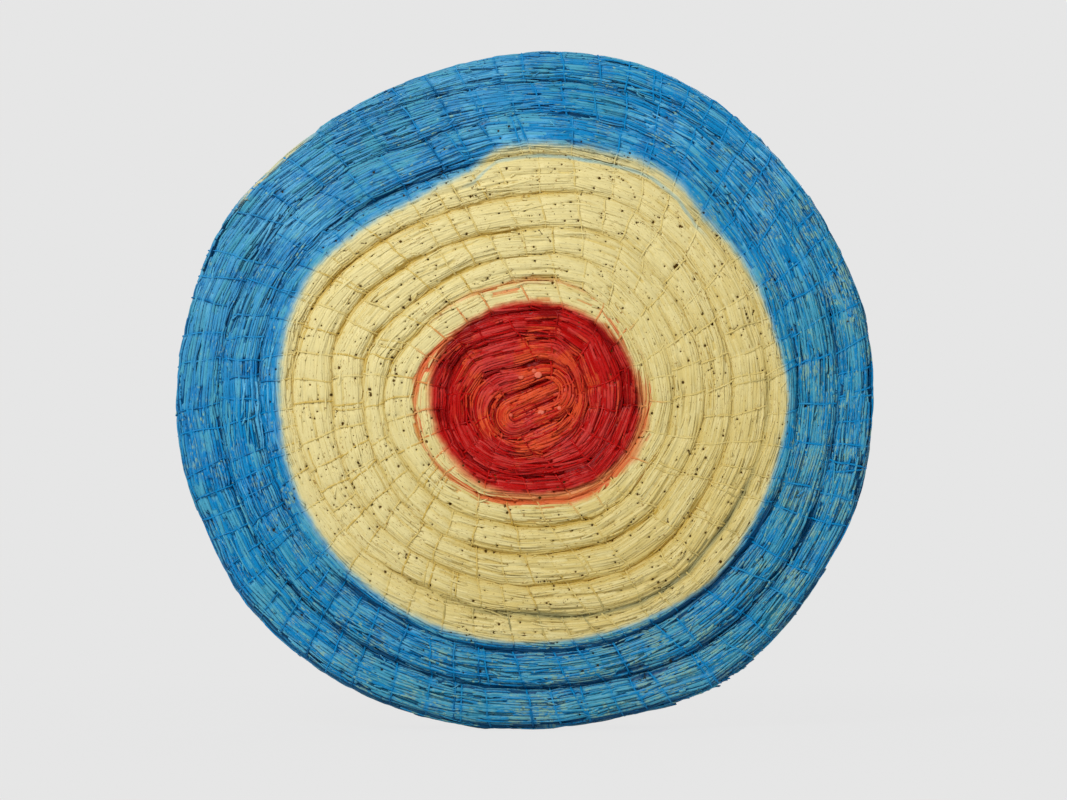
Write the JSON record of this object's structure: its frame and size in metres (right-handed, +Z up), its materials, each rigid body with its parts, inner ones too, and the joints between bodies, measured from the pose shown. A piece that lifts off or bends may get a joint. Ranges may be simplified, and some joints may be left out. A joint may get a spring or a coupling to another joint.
{
  "type": "archery target boss",
  "caption": "Round straw archery boss: one straw rope coiled flat from a folded core, its turns lashed to each other with knotted lengths of twine, painted in three rings.",
  "frame": {"origin": "middle of the folded core on the flat back, the side that rests against a stand or wall", "axes": "+Z up and +X right as the face is seen from the front; +Y points out of the back and the face looks to -Y"},
  "size_m": [0.8076, 0.109, 0.7882],
  "materials": {
    "painted_straw": "thick satin paint over straw stalks, bare straw on the back",
    "twine": "rough plant-fibre twine, painted over on the face"
  },
  "bodies": {
    "root": {"straw_rope": "painted_straw", "twine_length_01": "twine", "twine_length_02": "twine", "twine_length_03": "twine", "twine_length_04": "twine", "twine_length_05": "twine", "twine_length_06": "twine", "twine_length_07": "twine", "twine_length_08": "twine", "twine_length_09": "twine", "twine_length_10": "twine", "twine_length_11": "twine", "twine_length_12": "twine", "twine_length_13": "twine", "twine_length_14": "twine", "twine_length_15": "twine", "twine_length_16": "twine", "twine_length_17": "twine", "twine_length_18": "twine", "twine_length_19": "twine", "twine_length_20": "twine", "twine_length_21": "twine"}
  },
  "joints": []
}
